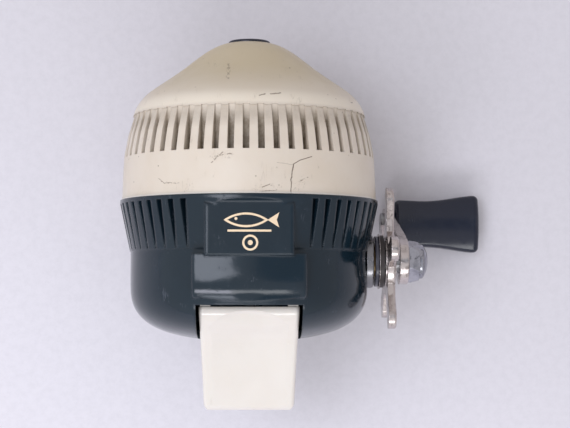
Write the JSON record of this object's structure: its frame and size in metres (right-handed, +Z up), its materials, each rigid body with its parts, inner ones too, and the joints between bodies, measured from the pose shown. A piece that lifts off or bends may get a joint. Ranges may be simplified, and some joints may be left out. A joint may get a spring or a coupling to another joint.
{
  "type": "spincast fishing reel",
  "caption": "Push-button spincast fishing reel with a cone-nosed fluted cover, dark rear housing, thumb button, star drag wheel, cranked handle and rod-seat foot.",
  "frame": {"origin": "centre of the foot's flat underside", "axes": "+X towards the crank along its shaft, +Y forward along the spool axis to the line exit, +Z up from the foot to the label panel"},
  "size_m": [0.097, 0.0947, 0.074],
  "materials": {
    "cream_plastic": "aged ivory gloss",
    "button_plastic": "ivory gloss",
    "dark_plastic": "green-black gloss",
    "gold_mark": "gold foil",
    "nickel": "bright nickel plate",
    "guide_steel": "dark steel",
    "steel": "plain",
    "spring_steel": "plain",
    "brass": "machined",
    "zinc": "die cast",
    "aluminium": "satin",
    "inner_plastic": "moulded",
    "washer_fibre": "dark fibre",
    "knob_plastic": "black gloss"
  },
  "bodies": {
    "frame": {"front_cover": "cream_plastic", "line_guide_ring": "guide_steel", "rear_housing": "dark_plastic", "panel_emblem": "gold_mark", "thumb_pivot_pin": "steel", "deck_plate": "zinc", "deck_screws": "steel", "pinion_bushing": "brass", "pawl_bracket": "steel", "pawl_pin": "steel", "spool": "inner_plastic", "spool_clip": "spring_steel", "pickup_cam": "aluminium", "crank_bushing": "nickel", "foot": "nickel", "foot_screws": "steel"},
    "crank": {"crank_shaft": "steel", "drive_gear": "zinc", "drag_washers": "washer_fibre", "ratchet_wheel": "steel", "spring_washer": "spring_steel", "drag_sleeve": "brass", "drag_collar": "knob_plastic", "plate_washer": "nickel", "thrust_washer": "washer_fibre", "crank_arm": "nickel", "acorn_nut": "nickel", "knob_pin": "steel", "knob_washer": "steel"},
    "star": {"star_wheel": "nickel"},
    "knob": {"knob": "knob_plastic"},
    "pinion": {"pinion": "brass"},
    "shaft": {"center_shaft": "steel", "shaft_clip": "spring_steel", "return_spring": "spring_steel", "spinner_head": "aluminium", "spinner_nut": "steel"},
    "pickup": {"pickup_pin": "steel"},
    "button": {"thumb_button": "button_plastic"},
    "pawl": {"anti_reverse_pawl": "steel"}
  },
  "joints": [
    {"name": "crank_turn", "type": "hinge", "parent": "frame", "child": "crank", "pos_m": [0, -0.0014, 0.041], "axis": [1, 0, 0], "continuous": true},
    {"name": "star_turn", "type": "hinge", "parent": "crank", "child": "star", "pos_m": [0.036, -0.0014, 0.041], "axis": [1, 0, 0], "range_deg": [-180, 180]},
    {"name": "knob_spin", "type": "hinge", "parent": "crank", "child": "knob", "pos_m": [0.052, 0.0099, 0.0045], "axis": [1, 0, 0], "continuous": true},
    {"name": "pinion_spin", "type": "hinge", "parent": "frame", "child": "pinion", "pos_m": [0, 0.011, 0.041], "axis": [0, 1, 0], "continuous": true},
    {"name": "button_press", "type": "hinge", "parent": "frame", "child": "button", "pos_m": [0, -0.0095, 0.061], "axis": [1, 0, 0], "range_deg": [0, 11.46], "stiffness_Nm_per_rad": 0.35, "springref_deg": -8.59},
    {"name": "shaft_slide", "type": "slide", "parent": "pinion", "child": "shaft", "axis": [0, 1, 0], "range_m": [0, 0.004]},
    {"name": "pickup_retract", "type": "slide", "parent": "shaft", "child": "pickup", "axis": [0, 0, -1], "range_m": [0, 0.0032]},
    {"name": "pawl_swing", "type": "hinge", "parent": "frame", "child": "pawl", "pos_m": [0.0102, 0.0072, 0.0556], "axis": [1, 0, 0], "range_deg": [-10, 0], "stiffness_Nm_per_rad": 0.004, "springref_deg": 14.32}
  ],
  "couplings": [
    {"joint": "pinion_spin", "follows": "crank_turn", "ratio": -3.3333},
    {"joint": "shaft_slide", "follows": "button_press", "m_per_rad": 0.02},
    {"joint": "pickup_retract", "follows": "button_press", "m_per_rad": 0.016}
  ]
}
